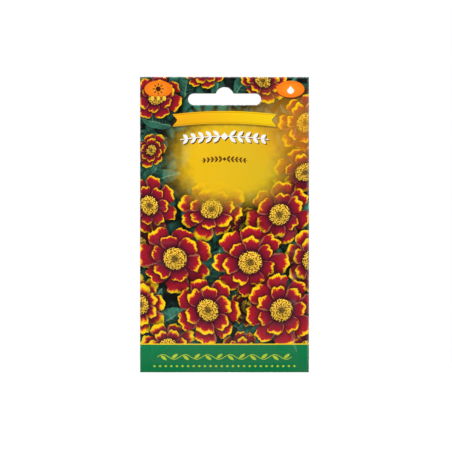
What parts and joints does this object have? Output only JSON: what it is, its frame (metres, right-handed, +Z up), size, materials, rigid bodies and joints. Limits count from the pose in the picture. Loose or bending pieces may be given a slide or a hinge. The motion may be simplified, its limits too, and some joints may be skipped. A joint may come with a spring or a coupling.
{
  "type": "seed packet",
  "caption": "Flat upright seed packet of laminated paper with a printed front, a hang slot in its header, and loose marigold seeds sealed in its pocket.",
  "frame": {"origin": "middle of the top edge of the hump in the hang slot, halfway through the header, where a display peg carries the packet", "axes": "+Z up the packet, +X to the right as its front is read, -Y out of its printed front"},
  "size_m": [0.092, 0.0044, 0.161],
  "materials": {
    "front_print": "satin",
    "back_print": "satin",
    "seed": "matte"
  },
  "bodies": {
    "root": {"front_sheet": "front_print", "back_sheet": "back_print", "seed_01": "seed", "seed_02": "seed", "seed_03": "seed", "seed_04": "seed", "seed_05": "seed", "seed_06": "seed", "seed_07": "seed", "seed_08": "seed", "seed_09": "seed", "seed_10": "seed", "seed_11": "seed", "seed_12": "seed", "seed_13": "seed", "seed_14": "seed", "seed_15": "seed", "seed_16": "seed", "seed_17": "seed", "seed_18": "seed", "seed_19": "seed", "seed_20": "seed", "seed_21": "seed", "seed_22": "seed", "seed_23": "seed", "seed_24": "seed", "seed_25": "seed", "seed_26": "seed", "seed_27": "seed", "seed_28": "seed", "seed_29": "seed", "seed_30": "seed", "seed_31": "seed", "seed_32": "seed", "seed_33": "seed", "seed_34": "seed", "seed_35": "seed", "seed_36": "seed", "seed_37": "seed", "seed_38": "seed", "seed_39": "seed", "seed_40": "seed", "seed_41": "seed", "seed_42": "seed", "seed_43": "seed", "seed_44": "seed", "seed_45": "seed", "seed_46": "seed", "seed_47": "seed", "seed_48": "seed", "seed_49": "seed", "seed_50": "seed", "seed_51": "seed", "seed_52": "seed", "seed_53": "seed", "seed_54": "seed", "seed_55": "seed", "seed_56": "seed", "seed_57": "seed", "seed_58": "seed"}
  },
  "joints": []
}
